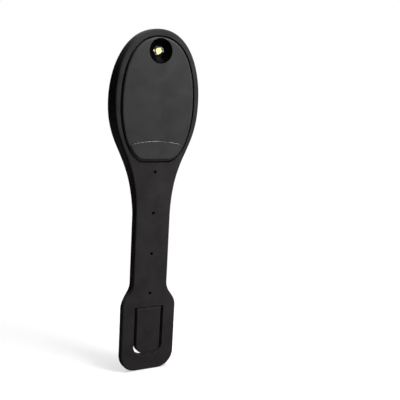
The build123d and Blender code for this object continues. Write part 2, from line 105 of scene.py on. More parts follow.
# %% [markdown]
# ## Helpers for working as by hand
#
# Operators act on whatever is selected, so each step first says which piece it works on and
# which faces or edges it takes. They are picked by place or direction, the way an eye would.


# %% Selecting and editing
def select_only(piece):
    """Select one piece and make it the active one."""
    bpy.ops.object.select_all(action="DESELECT")
    piece.select_set(True)
    bpy.context.view_layer.objects.active = piece


def edit(piece):
    """Open one piece in edit mode."""
    select_only(piece)
    bpy.ops.object.mode_set(mode="EDIT")


def leave_edit():
    """Close edit mode."""
    bpy.ops.object.mode_set(mode="OBJECT")


def middle(part):
    """Middle of an edge or a face."""
    total = sum((corner.co for corner in part.verts[1:]), part.verts[0].co.copy())
    return total / len(part.verts)


def pick(piece, kind, wanted):
    """In edit mode, select the vertices, edges or faces that pass a test, and count them."""
    bpy.ops.mesh.select_mode(type=kind)
    bpy.ops.mesh.select_all(action="DESELECT")
    mesh = bmesh.from_edit_mesh(piece.data)
    parts = {"VERT": mesh.verts, "EDGE": mesh.edges, "FACE": mesh.faces}[kind]
    chosen = [part for part in parts if wanted(part)]
    for part in chosen:
        part.select_set(True)
    bmesh.update_edit_mesh(piece.data)
    return len(chosen)


def same(a, b, within=0.01 * mm):
    """True if two lengths are equal for the eye."""
    return abs(a - b) < within


# Bisect counts corners nearer than this as lying in its plane, and its own value is a tenth of a
# millimetre, which is coarse for a light as small as this.
on_plane = 0.0001 * mm


# %% Making and cutting
def name_piece(name):
    """Name the primitive just added, and put its place and size into its mesh."""
    piece = bpy.context.object
    piece.name = name
    piece.data.name = name
    select_only(piece)
    bpy.ops.object.transform_apply(location=True, rotation=True, scale=True)
    return piece


def add_bar(name, width, front, back, low, high):
    """A flat upright bar between two depths and two heights."""
    bpy.ops.object.select_all(action="DESELECT")
    place = (0, (front + back) / 2, (low + high) / 2)
    bpy.ops.mesh.primitive_cube_add(size=1, location=place, scale=(width, back - front, high - low))
    return name_piece(name)


def add_round(name, radius, front, back, height, sides):
    """A round bar along the depth of the light."""
    bpy.ops.object.select_all(action="DESELECT")
    place = (0, (front + back) / 2, height)
    bpy.ops.mesh.primitive_cylinder_add(vertices=sides, radius=radius, depth=back - front,
                                        location=place, rotation=(math.pi / 2, 0, 0))
    return name_piece(name)


def cut_rings(piece, heights):
    """Cut level rings of vertices into a piece, so that it can bend there."""
    edit(piece)
    for height in heights:
        bpy.ops.mesh.select_all(action="SELECT")
        bpy.ops.mesh.bisect(plane_co=(0, 0, height), plane_no=(0, 0, 1), threshold=on_plane)
    leave_edit()


def carve(piece, cutter):
    """Take the cutter's shape out of a piece, and throw the cutter away."""
    select_only(piece)
    bpy.ops.object.modifier_add(type="BOOLEAN")
    piece.modifiers[-1].object = cutter
    piece.modifiers[-1].operation = "DIFFERENCE"
    piece.modifiers[-1].solver = "EXACT"
    bpy.ops.object.modifier_apply(modifier=piece.modifiers[-1].name)
    bpy.data.objects.remove(cutter)


def smooth(piece, angle=math.radians(32)):
    """Shade rounded edges smoothly, and keep the flat faces beside them flat."""
    select_only(piece)
    if piece.data.has_custom_normals:
        bpy.ops.mesh.customdata_custom_splitnormals_clear()
    bpy.ops.object.shade_smooth_by_angle(angle=angle)
    bpy.ops.object.modifier_add(type="WEIGHTED_NORMAL")
    piece.modifiers[-1].keep_sharp = True
    bpy.ops.object.modifier_apply(modifier=piece.modifiers[-1].name)


def tidy_mesh(piece):
    """Merge doubles and turn every face outwards."""
    edit(piece)
    bpy.ops.mesh.select_all(action="SELECT")
    bpy.ops.mesh.remove_doubles(threshold=0.001 * mm)
    bpy.ops.mesh.normals_make_consistent(inside=False)
    leave_edit()


def merged_copy(node, name):
    """A new piece with the shape of a CAD node, whose loose triangles are merged."""
    mesh = frame["nodes"][node].data.copy()
    mesh.name = name
    mesh.materials.clear()
    piece = bpy.data.objects.new(name, mesh)
    bpy.context.scene.collection.objects.link(piece)
    tidy_mesh(piece)
    return piece


# %% [markdown]
# ## Surface effects that several finishes share
#
# Moulded rubber, hard plastic and metal differ in colour and grain, but all of them drift a
# little in tone, rub pale along their edges and gather dust where they face up. Each effect is
# one node group with named inputs, built once and placed in every finish with its own values.


# %% Node helpers
def add_node(tree, kind, values=None, **settings):
    """Add a node, set its own options and the values of its inputs."""
    made = tree.nodes.new(kind)
    for key, value in settings.items():
        setattr(made, key, value)
    for key, value in (values or {}).items():
        made.inputs[key].default_value = value
    return made


def new_group(name, inputs, outputs):
    """A shader node group with named number sockets."""
    tree = bpy.data.node_groups.new(name, "ShaderNodeTree")
    for socket, value in inputs.items():
        made = tree.interface.new_socket(socket, in_out="INPUT", socket_type="NodeSocketFloat")
        made.default_value = value
    for socket in outputs:
        tree.interface.new_socket(socket, in_out="OUTPUT", socket_type="NodeSocketFloat")
    return tree, tree.nodes.new("NodeGroupInput"), tree.nodes.new("NodeGroupOutput")


def scaled_place(tree, size_socket):
    """The place on the object, counted in steps of a size in millimetres."""
    place = add_node(tree, "ShaderNodeTexCoord")
    steps = add_node(tree, "ShaderNodeMath", {0: 1 / mm}, operation="DIVIDE")
    tree.links.new(size_socket, steps.inputs[1])
    scaled = add_node(tree, "ShaderNodeVectorMath", operation="SCALE")
    tree.links.new(place.outputs["Object"], scaled.inputs[0])
    tree.links.new(steps.outputs[0], scaled.inputs["Scale"])
    return scaled.outputs[0]


# %% Fine grain
def make_fine_grain():
    """Small bumps of a spark-eroded mould: a height, and a speckle for the roughness."""
    tree, given, out = new_group("fine_grain", {"Grain mm": 0.12}, ["Height", "Speckle"])
    place = scaled_place(tree, given.outputs["Grain mm"])
    noise = add_node(tree, "ShaderNodeTexNoise", {"Scale": 1.0, "Detail": 3.0, "Roughness": 0.6})
    cells = add_node(tree, "ShaderNodeTexVoronoi", {"Scale": 0.8, "Randomness": 1.0})
    both = add_node(tree, "ShaderNodeMath", operation="MULTIPLY_ADD")
    both.inputs[1].default_value = 0.5
    tree.links.new(place, noise.inputs["Vector"])
    tree.links.new(place, cells.inputs["Vector"])
    tree.links.new(cells.outputs["Distance"], both.inputs[0])
    tree.links.new(noise.outputs["Fac"], both.inputs[2])
    tree.links.new(both.outputs[0], out.inputs["Height"])
    tree.links.new(noise.outputs["Fac"], out.inputs["Speckle"])
    return tree


fine_grain = make_fine_grain()


# %% Drift of tone
def make_tone_drift():
    """Slow change of tone over a surface, from 0 to 1."""
    tree, given, out = new_group("tone_drift", {"Patch mm": 6.0}, ["Drift"])
    place = scaled_place(tree, given.outputs["Patch mm"])
    noise = add_node(tree, "ShaderNodeTexNoise", {"Scale": 1.0, "Detail": 2.0, "Distortion": 0.4})
    spread = add_node(tree, "ShaderNodeMapRange", {"From Min": 0.3, "From Max": 0.7})
    tree.links.new(place, noise.inputs["Vector"])
    tree.links.new(noise.outputs["Fac"], spread.inputs["Value"])
    tree.links.new(spread.outputs["Result"], out.inputs["Drift"])
    return tree


tone_drift = make_tone_drift()


# %% Edge wear
def make_edge_wear():
    """Rubbed edges: where a rounded normal leaves the true one, broken up by patches."""
    tree, given, out = new_group("edge_wear", {"Reach mm": 0.2, "Patch mm": 1.5}, ["Wear"])
    reach = add_node(tree, "ShaderNodeMath", {1: mm}, operation="MULTIPLY")
    rounded = add_node(tree, "ShaderNodeBevel", samples=4)
    shape = add_node(tree, "ShaderNodeNewGeometry")
    agree = add_node(tree, "ShaderNodeVectorMath", operation="DOT_PRODUCT")
    edge = add_node(tree, "ShaderNodeMapRange", {"From Min": 0.995, "From Max": 0.8})
    place = scaled_place(tree, given.outputs["Patch mm"])
    noise = add_node(tree, "ShaderNodeTexNoise", {"Scale": 1.0, "Detail": 3.0})
    patches = add_node(tree, "ShaderNodeMapRange", {"From Min": 0.35, "From Max": 0.65})
    worn = add_node(tree, "ShaderNodeMath", operation="MULTIPLY")
    tree.links.new(given.outputs["Reach mm"], reach.inputs[0])
    tree.links.new(reach.outputs[0], rounded.inputs["Radius"])
    tree.links.new(rounded.outputs[0], agree.inputs[0])
    tree.links.new(shape.outputs["Normal"], agree.inputs[1])
    tree.links.new(agree.outputs["Value"], edge.inputs["Value"])
    tree.links.new(place, noise.inputs["Vector"])
    tree.links.new(noise.outputs["Fac"], patches.inputs["Value"])
    tree.links.new(edge.outputs["Result"], worn.inputs[0])
    tree.links.new(patches.outputs["Result"], worn.inputs[1])
    tree.links.new(worn.outputs[0], out.inputs["Wear"])
    return tree


edge_wear = make_edge_wear()


# %% Settled dust
def make_settled_dust():
    """Specks of dust, more of them where the surface faces up."""
    tree, given, out = new_group("settled_dust", {"Speck mm": 0.5}, ["Dust"])
    shape = add_node(tree, "ShaderNodeNewGeometry")
    parts = add_node(tree, "ShaderNodeSeparateXYZ")
    up = add_node(tree, "ShaderNodeMapRange", {"From Min": -0.4, "From Max": 1.0, "To Min": 0.25})
    place = scaled_place(tree, given.outputs["Speck mm"])
    noise = add_node(tree, "ShaderNodeTexNoise", {"Scale": 1.0, "Detail": 4.0, "Roughness": 0.7})
    specks = add_node(tree, "ShaderNodeMapRange", {"From Min": 0.62, "From Max": 0.75})
    lying = add_node(tree, "ShaderNodeMath", operation="MULTIPLY")
    tree.links.new(shape.outputs["Normal"], parts.inputs[0])
    tree.links.new(parts.outputs["Z"], up.inputs["Value"])
    tree.links.new(place, noise.inputs["Vector"])
    tree.links.new(noise.outputs["Fac"], specks.inputs["Value"])
    tree.links.new(up.outputs["Result"], lying.inputs[0])
    tree.links.new(specks.outputs["Result"], lying.inputs[1])
    tree.links.new(lying.outputs[0], out.inputs["Dust"])
    return tree


settled_dust = make_settled_dust()


# %% [markdown]
# ## One recipe for every opaque finish
#
# The recipe lays the shared effects over each other in the order in which they come on the real
# thing: the tone of the material, then rubbed edges, then dust. What is the same all over, such
# as the metallic value, is set on the shader itself. Colours are given as they look on a screen
# and turned into light amounts here.


# %% The finish recipe
def tint(red, green, blue):
    """A screen colour from 0 to 255 as the amounts of light that a shader takes."""
    return tuple((part / 255) ** 2.2 for part in (red, green, blue)) + (1.0,)


def mix_colour(tree, factor, low, high):
    """Mix two colours, each a socket or a plain colour, by a factor socket."""
    mix = add_node(tree, "ShaderNodeMix", data_type="RGBA")
    tree.links.new(factor, mix.inputs["Factor"])
    for name, colour in (("A", low), ("B", high)):
        socket = next(s for s in mix.inputs if s.name == name and s.type == "RGBA")
        if isinstance(colour, tuple):
            socket.default_value = colour
        else:
            tree.links.new(colour, socket)
    return next(s for s in mix.outputs if s.type == "RGBA")


def add_group(tree, group, values):
    """Place a shared effect in a material."""
    made = add_node(tree, "ShaderNodeGroup", node_tree=group)
    for key, value in values.items():
        made.inputs[key].default_value = value
    return made


def share(tree, socket, amount):
    """A part of a mask."""
    part = add_node(tree, "ShaderNodeMath", {1: amount}, operation="MULTIPLY")
    tree.links.new(socket, part.inputs[0])
    return part.outputs[0]


def make_finish(name, dark, light, rough, grain_mm, grain_depth_mm, patch_mm=6.0, worn=None,
                wear=0.3, wear_reach_mm=0.2, dust=0.15, metallic=0.0, specular=0.3, coat=0.0):
    """A procedural finish with a drifting tone, grain, rubbed edges and a little dust."""
    material = bpy.data.materials.new(name)
    material.use_nodes = True
    tree = material.node_tree
    shader = tree.nodes["Principled BSDF"]
    shader.inputs["Metallic"].default_value = metallic
    shader.inputs["Specular IOR Level"].default_value = specular
    shader.inputs["Coat Weight"].default_value = coat
    drift = add_group(tree, tone_drift, {"Patch mm": patch_mm})
    grain = add_group(tree, fine_grain, {"Grain mm": grain_mm})
    rubbed = add_group(tree, edge_wear, {"Reach mm": wear_reach_mm})
    dusty = add_group(tree, settled_dust, {})
    rubbed_share = share(tree, rubbed.outputs["Wear"], wear)
    dust_share = share(tree, dusty.outputs["Dust"], dust)
    colour = mix_colour(tree, drift.outputs["Drift"], dark, light)
    colour = mix_colour(tree, rubbed_share, colour, worn or light)
    colour = mix_colour(tree, dust_share, colour, tint(150, 146, 140))
    tree.links.new(colour, shader.inputs["Base Color"])
    gloss = add_node(tree, "ShaderNodeMapRange",
                     {"From Min": 0.3, "From Max": 0.7, "To Min": rough[0], "To Max": rough[1]})
    tree.links.new(grain.outputs["Speckle"], gloss.inputs["Value"])
    tree.links.new(gloss.outputs["Result"], shader.inputs["Roughness"])
    bump = add_node(tree, "ShaderNodeBump", {"Strength": 1.0, "Distance": grain_depth_mm * mm})
    tree.links.new(grain.outputs["Height"], bump.inputs["Height"])
    tree.links.new(bump.outputs["Normal"], shader.inputs["Normal"])
    return material


# %% [markdown]
# ## The finishes of this light
#
# The skin is soft black rubber with a very faint warm cast. The panel, the press pad and the
# cover are hard plastic with a finer grain and a cooler, lighter grey. The cup of the lamp is
# polished black. Inside are tinned steel, a green board and the bare metal of the contacts.

# %% Plastics and rubber
skin_finish = make_finish("soft_black_rubber", tint(51, 49, 50), tint(59, 57, 58), (0.6, 0.75),
                          0.14, 0.012, worn=tint(78, 76, 76), wear=0.3, specular=0.01)
panel_finish = make_finish("grained_grey_plastic", tint(47, 47, 48), tint(55, 55, 55), (0.5, 0.62),
                           0.10, 0.010, patch_mm=5.0, worn=tint(88, 87, 85), wear=0.4,
                           wear_reach_mm=0.12, specular=0.15)
pad_finish = make_finish("pad_grey_plastic", tint(50, 50, 51), tint(57, 57, 57), (0.5, 0.62),
                         0.08, 0.008, patch_mm=4.0, worn=tint(88, 87, 85), wear=0.4,
                         wear_reach_mm=0.16, specular=0.15)
# The pad's up-facing upper edge gets a pale colour: a painted highlight where light catches it.
painted_pad_highlight = make_finish("pad_edge_plastic", tint(128, 127, 125), tint(150, 149, 147),
                              (0.3, 0.42), 0.08, 0.004, patch_mm=3.0, specular=0.3)
cover_finish = make_finish("cover_black_plastic", tint(38, 38, 39), tint(47, 47, 48), (0.5, 0.66),
                           0.12, 0.012, worn=tint(78, 77, 76), wear=0.4, specular=0.15)
carrier_finish = make_finish("carrier_black_plastic", tint(24, 24, 25), tint(31, 31, 32),
                             (0.5, 0.65), 0.2, 0.01, worn=tint(52, 52, 52), wear=0.2, dust=0.05)
cup_finish = make_finish("polished_black_plastic", tint(6, 6, 7), tint(11, 11, 12), (0.2, 0.3),
                         0.5, 0.001, worn=tint(44, 44, 46), wear=0.3, wear_reach_mm=0.06,
                         dust=0.03, specular=0.008)
seal_finish = make_finish("seal_nylon", tint(170, 168, 158), tint(190, 188, 178), (0.4, 0.55),
                          0.2, 0.005, dust=0.05)
chip_finish = make_finish("chip_epoxy", tint(28, 28, 30), tint(38, 38, 40), (0.5, 0.7), 0.06, 0.008,
                          patch_mm=2.0, dust=0.05)

# %% Metals, board and powder
steel_finish = make_finish("tinned_cell_steel", tint(176, 176, 174), tint(205, 205, 202),
                           (0.22, 0.36), 0.08, 0.003, metallic=1.0, worn=tint(225, 225, 222),
                           dust=0.05, specular=0.5)
strip_finish = make_finish("blued_strip_steel", tint(44, 46, 52), tint(70, 72, 78), (0.35, 0.5),
                           0.3, 0.004, metallic=1.0, worn=tint(130, 130, 132), dust=0.05)
contact_finish = make_finish("nickel_contact", tint(178, 172, 158), tint(202, 196, 182),
                             (0.2, 0.34), 0.1, 0.002, metallic=1.0, worn=tint(220, 216, 205),
                             dust=0.03)
screw_finish = make_finish("zinc_screw", tint(120, 121, 124), tint(160, 161, 164), (0.25, 0.42),
                           0.06, 0.004, metallic=1.0, worn=tint(210, 210, 210), wear=0.6, dust=0.1)
board_finish = make_finish("green_board", tint(18, 62, 40), tint(28, 78, 50), (0.3, 0.45),
                           0.25, 0.006, patch_mm=3.0, dust=0.05, specular=0.5)
pellet_finish = make_finish("pressed_powder", tint(52, 52, 54), tint(74, 74, 76), (0.75, 0.9),
                            0.08, 0.02, patch_mm=2.0, dust=0.0)
package_finish = make_finish("package_epoxy", tint(12, 11, 11), tint(20, 18, 17), (0.35, 0.5),
                             0.05, 0.002, patch_mm=0.8, worn=tint(46, 44, 42), dust=0.03,
                             specular=0.1)
# Leads painted near white, not as metal, stand in for bright reflections beside the yellow layer;
# the same finish gives the painted glint on the package.
leads_and_painted_glint_finish = make_finish("silvered_lead", tint(236, 234, 226), tint(250, 248, 242), (0.3, 0.45),
                          0.05, 0.002, patch_mm=0.8, dust=0.03, specular=0.5)


# %% [markdown]
# ## The light source and its clear dome
#
# The yellow layer on the chip is a powder in resin. It has a faint painted glow, so that it reads
# as the brightest spot, and its grains break up the yellow. The dome is clear silicone, a plain
# glass shader with a faint waviness, so that light bends through it onto the package.

# %% Phosphor and dome
def make_phosphor():
    """Yellow powder in resin with a soft painted glow."""
    material = make_finish("yellow_phosphor", tint(236, 228, 110), tint(250, 246, 150), (0.4, 0.6),
                           0.05, 0.006, patch_mm=0.4, dust=0.0)
    tree = material.node_tree
    shader = tree.nodes["Principled BSDF"]
    # Painted glow: the yellow layer gives light of its own, which makes it the brightest spot.
    shader.inputs["Emission Strength"].default_value = 0.55
    drift = add_group(tree, tone_drift, {"Patch mm": 0.5})
    glow = mix_colour(tree, drift.outputs["Drift"], tint(238, 232, 120), tint(252, 250, 178))
    tree.links.new(glow, shader.inputs["Emission Color"])
    return material


def make_clear_dome():
    """Clear silicone with a slightly wavy surface."""
    material = bpy.data.materials.new("clear_silicone")
    material.use_nodes = True
    tree = material.node_tree
    shader = tree.nodes["Principled BSDF"]
    shader.inputs["Base Color"].default_value = (1.0, 1.0, 1.0, 1.0)
    shader.inputs["Transmission Weight"].default_value = 1.0
    shader.inputs["IOR"].default_value = 1.42
    grain = add_group(tree, fine_grain, {"Grain mm": 0.6})
    gloss = add_node(tree, "ShaderNodeMapRange",
                     {"From Min": 0.3, "From Max": 0.7, "To Min": 0.01, "To Max": 0.05})
    tree.links.new(grain.outputs["Speckle"], gloss.inputs["Value"])
    tree.links.new(gloss.outputs["Result"], shader.inputs["Roughness"])
    bump = add_node(tree, "ShaderNodeBump", {"Strength": 1.0, "Distance": 0.004 * mm})
    tree.links.new(grain.outputs["Height"], bump.inputs["Height"])
    tree.links.new(bump.outputs["Normal"], shader.inputs["Normal"])
    return material


phosphor_painted_glow_finish = make_phosphor()
dome_finish = make_clear_dome()
print("finishes:", len(bpy.data.materials))


# %% [markdown]
# ## Finishes on the pieces that keep their CAD shape
#
# A CAD node whose shape is right stays as it is and only gets a better finish in its material
# slots.

# %% Painting the kept nodes
node_finishes = {
    "clip_tongue": skin_finish,
    "tongue_leaf": strip_finish,
    "carrier_frame": carrier_finish,
    "front_panel": panel_finish,
    "switch_dome": contact_finish,
    "lamp_phosphor": phosphor_painted_glow_finish,
    "circuit_board": board_finish,
    "latch_chip": chip_finish,
    "resistor": chip_finish,
    "cell_can": steel_finish,
    "cell_seal": seal_finish,
    "cell_cap": steel_finish,
    "cell_pellet": pellet_finish,
    "negative_spring": contact_finish,
    "positive_spring": contact_finish,
    "back_cover": cover_finish,
    "cover_screw": screw_finish,
    "strip_rivets": screw_finish,
}
for node, finish in node_finishes.items():
    for slot in frame["nodes"][node].material_slots:
        slot.material = finish
print("kept nodes painted:", len(node_finishes))


# %% [markdown]
# ## A skin that bends
#
# The stem of the real light is one moulded skin over a bendable metal strip. The CAD model cuts
# it into links with half-round ends, because rigid solids can only turn on hinges. Here each
# bend gets one skin of its own, which runs from the straight middle of one link to the straight
# middle of the next and turns smoothly in between. A skin could be one long mesh for the whole
# stem, but a piece can bend between two bodies only, so four skins meet face to face.

# %% Rings for a bend
ring_step = 0.4 * mm


def ring_heights(low, high):
    """Evenly spaced heights between two others, close enough for a smooth bend."""
    count = math.ceil((high - low) / ring_step)
    return [low + (high - low) * index / count for index in range(count + 1)]


def bend_between(piece, number, slot, finish, *nodes):
    """Give a piece its finish, put its place into its mesh, and hide the CAD nodes that it
    replaces.
    """
    piece.data.materials.append(finish)
    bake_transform(piece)
    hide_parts(*nodes)


# %% [markdown]
# ## Middle skins and their metal strip
#
# A middle skin is a bar with softly rounded long edges. It starts as a cube at the size of the
# stem, its front and back edges get their own bevel, and rings are cut across it. A thin bar
# carves the channel for the strip, and a round one carves the locating hole.

# %% One middle skin
hole_radius = 0.47 * mm
hole_overrun = 0.05 * mm
channel_overrun = 1 * mm


def round_long_edges(piece, depth, radius):
    """Round the upright edges of a bar that lie at one depth."""
    edit(piece)
    pick(piece, "EDGE", lambda edge: same(middle(edge).y, depth)
         and not same(edge.verts[0].co.z, edge.verts[1].co.z))
    bpy.ops.mesh.bevel(offset=radius, segments=6, affect="EDGES")
    leave_edit()


def carve_hole(piece, height):
    """Carve a locating hole from the front down to the strip."""
    carve(piece, add_round("hole_cutter", hole_radius, -channel_overrun,
                           strip_low.y + hole_overrun, height, 40))


def middle_skin(number):
    """Skin over one bend in the middle of the stem."""
    low = seams[number - 2]
    high = seams[number - 1]
    skin = add_bar("stem_skin_" + str(number), stem_width, 0, stem_depth, low, high)
    round_long_edges(skin, 0, stem_front_radius)
    round_long_edges(skin, stem_depth, stem_back_radius)
    cut_rings(skin, ring_heights(low, high)[1:-1])
    carve(skin, add_bar("channel_cutter", strip_width, strip_low.y, strip_high.y,
                        low - channel_overrun, high + channel_overrun))
    if number == 3:
        carve_hole(skin, low + seam_drop)
    smooth(skin)
    return skin


def middle_spine(number):
    """Metal strip inside one middle skin."""
    low = seams[number - 2]
    high = seams[number - 1]
    spine = add_bar("stem_spine_" + str(number), strip_width, strip_low.y, strip_high.y, low, high)
    cut_rings(spine, ring_heights(low, high)[1:-1])
    return spine


for number in (2, 3):
    bend_between(middle_skin(number), number, "soft_skin", skin_finish,
                 "stem_link_" + str(number - 1))
    bend_between(middle_spine(number), number, "strip_steel", strip_finish,
                 "stem_strip_" + str(number - 1))


# %% [markdown]
# ## Head skin and the top of the stem
#
# The rim, the groove and the ledge of the head are right in the CAD node, so a merged copy of it
# is the start. Its half-round end is cut off at the first bend, and the open edges are drawn
# down the stem ring by ring, as one pulls a sleeve. The same is done with the strip.

# %% Drawing a piece down the stem
cut_margin = 0.05 * mm


def draw_down(piece, cut, end):
    """Cut a piece off below a height, and extrude its open edges down to the end."""
    edit(piece)
    bpy.ops.mesh.select_all(action="SELECT")
    bpy.ops.mesh.bisect(plane_co=(0, 0, cut), plane_no=(0, 0, 1), clear_inner=True,
                        threshold=on_plane)
    pick(piece, "EDGE", lambda edge: edge.is_boundary)
    heights = ring_heights(end, cut)[::-1]
    for high, low in zip(heights, heights[1:]):
        bpy.ops.mesh.extrude_region_move(TRANSFORM_OT_translate={"value": (0, 0, low - high)})
    bpy.ops.mesh.fill()
    leave_edit()
    cut_rings(piece, ring_heights(cut, cut + bend_reach)[1:])
    tidy_mesh(piece)


head_skin = merged_copy("head_shell", "head_skin")
draw_down(head_skin, bend_heights[3] + cut_margin, seams[2])
smooth(head_skin)
bend_between(head_skin, 4, "soft_skin", skin_finish, "head_shell", "stem_link_3")

neck_spine = merged_copy("head_strip", "neck_spine")
draw_down(neck_spine, bend_heights[3] + cut_margin, seams[2])
smooth(neck_spine)
bend_between(neck_spine, 4, "strip_steel", strip_finish, "head_strip", "stem_strip_3")


# %% [markdown]
# ## Foot skin and the bottom of the stem
#
# The foot is done the same way from below. It is still flaring where it is cut, so each new ring
# is scaled across until it has the width of the stem. The skin has an outer edge and, inside it,
# the edge of the pocket that holds the steel plate, and both are scaled to their own width.

# %% Drawing a piece up the stem
foot_cut_drop = 2.45 * mm
foot_cut = bend_heights[0] - foot_cut_drop


def in_pocket(corner):
    """True for the edge of the plate's pocket inside the skin."""
    return strip_low.y - cut_margin < corner.co.y < strip_high.y + cut_margin and abs(
        corner.co.x) < stem_width / 2 - stem_back_radius


def half_width(piece, height, wanted):
    """Half the width of a ring, in edit mode."""
    corners = bmesh.from_edit_mesh(piece.data).verts
    return max(abs(c.co.x) for c in corners if same(c.co.z, height) and wanted(c))


def draw_up(piece, cut, end, rings):
    """Cut a piece off above a height, and extrude its open edges up to the end."""
    edit(piece)
    bpy.ops.mesh.select_all(action="SELECT")
    bpy.ops.mesh.bisect(plane_co=(0, 0, cut), plane_no=(0, 0, 1), clear_outer=True,
                        threshold=on_plane)
    starts = [half_width(piece, cut, wanted) for wanted, _ in rings]
    flare = bend_heights[0] - cut
    heights = ring_heights(cut, bend_heights[0]) + ring_heights(bend_heights[0], end)[1:]
    for low, high in zip(heights, heights[1:]):
        pick(piece, "EDGE", lambda edge: edge.is_boundary)
        bpy.ops.mesh.extrude_region_move(TRANSFORM_OT_translate={"value": (0, 0, high - low)})
        left = max(0, (bend_heights[0] - high) / flare) ** 2
        for (wanted, goal), start in zip(rings, starts):
            now = half_width(piece, high, wanted)
            pick(piece, "VERT", lambda corner: same(corner.co.z, high) and wanted(corner))
            bpy.ops.transform.resize(value=((goal + (start - goal) * left) / now, 1, 1),
                                     center_override=(0, 0, 0))
    pick(piece, "EDGE", lambda edge: edge.is_boundary)
    bpy.ops.mesh.fill()
    leave_edit()
    tidy_mesh(piece)


foot_skin = merged_copy("foot_shell", "foot_skin")
draw_up(foot_skin, foot_cut, seams[0], [(lambda corner: not in_pocket(corner), stem_width / 2),
                                        (in_pocket, strip_width / 2)])
smooth(foot_skin)
bend_between(foot_skin, 1, "soft_skin", skin_finish, "foot_shell")

foot_spine = merged_copy("foot_plate", "foot_spine")
draw_up(foot_spine, foot_cut, seams[0], [(lambda corner: True, strip_width / 2)])
smooth(foot_spine)
bend_between(foot_spine, 1, "strip_steel", strip_finish, "foot_plate")


# %% [markdown]
# ## The press pad
#
# The pad keeps its CAD shape in a merged copy, because its upper edge gets a colour of its own: a
# painted highlight, a thin pale arc on the up-facing edge that fades to both ends.

# %% Working the pad
pad_low, pad_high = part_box("press_pad")
pad_edge_drop = 0.3 * mm
pad_edge_lean = 0.3
pad_arc_radius = 32 * mm
pad_arc_top = pad_high.z
pad_arc_reach = 0.42 * (pad_high.x - pad_low.x)


def on_pad_edge(face):
    """True for the faces of the rounded upper edge, seen from the front."""
    sag = face.center.x ** 2 / (2 * pad_arc_radius)
    height = pad_arc_top - sag - face.center.z
    near = abs(face.center.x) < pad_arc_reach and face.center.y < pad_low.y + pad_edge_drop
    return near and height < pad_edge_drop and face.normal.z > pad_edge_lean


def make_pad():
    """Press pad with a painted highlight on its upper edge."""
    pad = merged_copy("press_pad", "pad_key")
    pad.data.materials.append(pad_finish)
    pad.data.materials.append(painted_pad_highlight)
    count = 0
    for face in pad.data.polygons:
        if on_pad_edge(face):
            # These up-facing faces take the pale painted highlight.
            face.material_index = 1
            count += 1
    print("faces of the pad's upper edge:", count)
    smooth(pad)
    return pad


pad_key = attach(make_pad(), "pad")
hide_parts("press_pad")

# %% [markdown]
# ## The cup of the lamp
#
# The cup is a turned form: a flat lip, a stepped cone that keeps stray light down, and a skirt
# that stands on the board. Turned forms could be spun from a profile. Here a cylinder is worked
# from its faces instead, which keeps each ring where it can be picked: inset for the lip, then
# alternate steps in and back for the cone, then the throat, and a bridge to close the wall.

# %% Sizes of the cup
cup_low, cup_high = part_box("lamp_bezel")
panel_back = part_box("front_panel")[1].y
lamp_height = (cup_low.z + cup_high.z) / 2
cup_radius = (cup_high.z - cup_low.z) / 2
cup_front = cup_low.y
cup_back = cup_high.y
lip_width = 0.3 * mm
throat_radius = 1.7 * mm
skirt_radius = 2.2 * mm
cone_steps = 4
wall_share = 0.7
wall_lean = 0.25
lip_rounding = 0.08 * mm
ring_tolerance = 0.03 * mm
print("cup radius, mm:", round(cup_radius / mm, 2))


# %% Working the cup
def scale_ring(ratio):
    """Scale the selected ring of the cup about its own axis."""
    bpy.ops.transform.resize(value=(ratio, 1, ratio), center_override=(0, 0, lamp_height))


def on_lip(edge, ring):
    """True for an edge that runs round the flat front of the cup at a radius."""
    place = middle(edge)
    reach = math.hypot(place.x, place.z - lamp_height)
    level = all(same(corner.co.y, cup_front) for corner in edge.verts)
    return level and same(reach, ring, ring_tolerance)


def push_back(distance):
    """Extrude the selected face into the cup."""
    bpy.ops.mesh.extrude_region_move(TRANSFORM_OT_translate={"value": (0, distance, 0)})


def make_cup():
    """Polished cup around the lamp."""
    cup = add_round("lamp_cup", cup_radius, cup_front, panel_back, lamp_height, 96)
    edit(cup)
    pick(cup, "FACE", lambda face: same(middle(face).y, panel_back))
    bpy.ops.mesh.inset(thickness=cup_radius - skirt_radius)
    push_back(cup_back - panel_back)
    bpy.ops.mesh.delete(type="FACE")
    pick(cup, "FACE", lambda face: same(middle(face).y, cup_front) and len(face.verts) > 4)
    bpy.ops.mesh.inset(thickness=lip_width)
    mouth = cup_radius - lip_width
    step_in = (mouth - throat_radius) / cone_steps
    step_back = (panel_back - cup_front) / cone_steps
    radius = mouth
    for _ in range(cone_steps):
        push_back(wall_share * step_back)
        scale_ring((radius - wall_lean * step_in) / radius)
        push_back((1 - wall_share) * step_back)
        scale_ring((radius - step_in) / (radius - wall_lean * step_in))
        radius -= step_in
    push_back(cup_back - panel_back)
    bpy.ops.mesh.delete(type="FACE")
    pick(cup, "EDGE", lambda edge: edge.is_boundary)
    bpy.ops.mesh.bridge_edge_loops()
    pick(cup, "EDGE", lambda edge: on_lip(edge, cup_radius) or on_lip(edge, mouth))
    bpy.ops.mesh.bevel(offset=lip_rounding, segments=3, affect="EDGES")
    leave_edit()
    tidy_mesh(cup)
    smooth(cup)
    cup.data.materials.append(cup_finish)
    return cup


lamp_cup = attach(make_cup(), "head")
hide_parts("lamp_bezel")
print("cup faces:", len(lamp_cup.data.polygons))

# %% [markdown]
# ## Package and dome of the lamp
#
# The package is a small black square set cornerwise, with a low rim made by an inset. A lead lies
# in its left and in its right corner, painted near white and not as metal, so that the leads stand
# in for the bright reflections beside the yellow layer, and a painted glint at the upper right
# stands in for a reflection on the dome. Cuts across the package part off their faces, which get a
# finish of their own. The dome is the cap of a finely divided sphere, closed by a flat face with a
# recess that clears the yellow layer.

